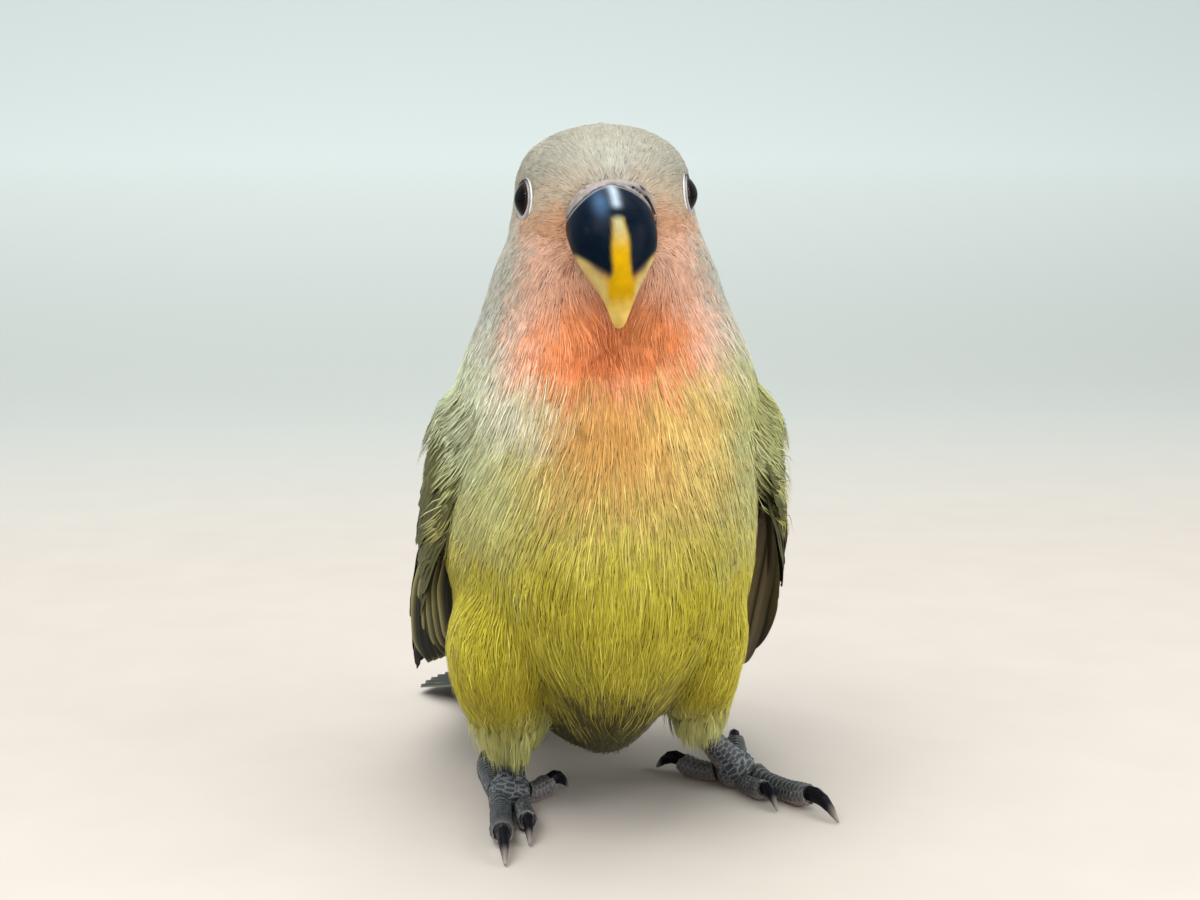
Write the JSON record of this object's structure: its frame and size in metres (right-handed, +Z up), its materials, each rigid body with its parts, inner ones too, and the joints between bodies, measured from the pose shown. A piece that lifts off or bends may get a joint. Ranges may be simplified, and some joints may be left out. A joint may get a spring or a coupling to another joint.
{
  "type": "peach faced lovebird",
  "caption": "Life-size still model of a young peach faced lovebird standing with folded wings, its head turned slightly to one side.",
  "frame": {"origin": "on the floor under the middle of the bird's bounding box", "axes": "+Z up, the bird faces -Y, and +X is towards its left wing"},
  "size_m": [0.0554, 0.09, 0.0904],
  "materials": {
    "crown": "soft feathers",
    "neck": "soft feathers",
    "body": "soft feathers",
    "wing": "stiff feathers",
    "tail": "stiff feathers",
    "bill": "polished horn",
    "horn": "satin horn",
    "cere": "bare skin",
    "eye": "wet gloss",
    "scales": "dry scales",
    "claw": "polished horn"
  },
  "bodies": {
    "root": {"head": "crown", "neck": "neck", "torso": "body", "tail": "tail", "wing_left": "wing", "wing_right": "wing", "eye_left": "eye", "eye_right": "eye", "bill_upper": "bill", "bill_lower": "horn", "cere": "cere", "thigh_left": "body", "thigh_right": "body", "tarsus_left": "scales", "tarsus_right": "scales", "toe_1_left": "scales", "toe_2_left": "scales", "toe_3_left": "scales", "toe_4_left": "scales", "toe_1_right": "scales", "toe_2_right": "scales", "toe_3_right": "scales", "toe_4_right": "scales", "claw_1_left": "claw", "claw_2_left": "claw", "claw_3_left": "claw", "claw_4_left": "claw", "claw_1_right": "claw", "claw_2_right": "claw", "claw_3_right": "claw", "claw_4_right": "claw"}
  },
  "joints": []
}
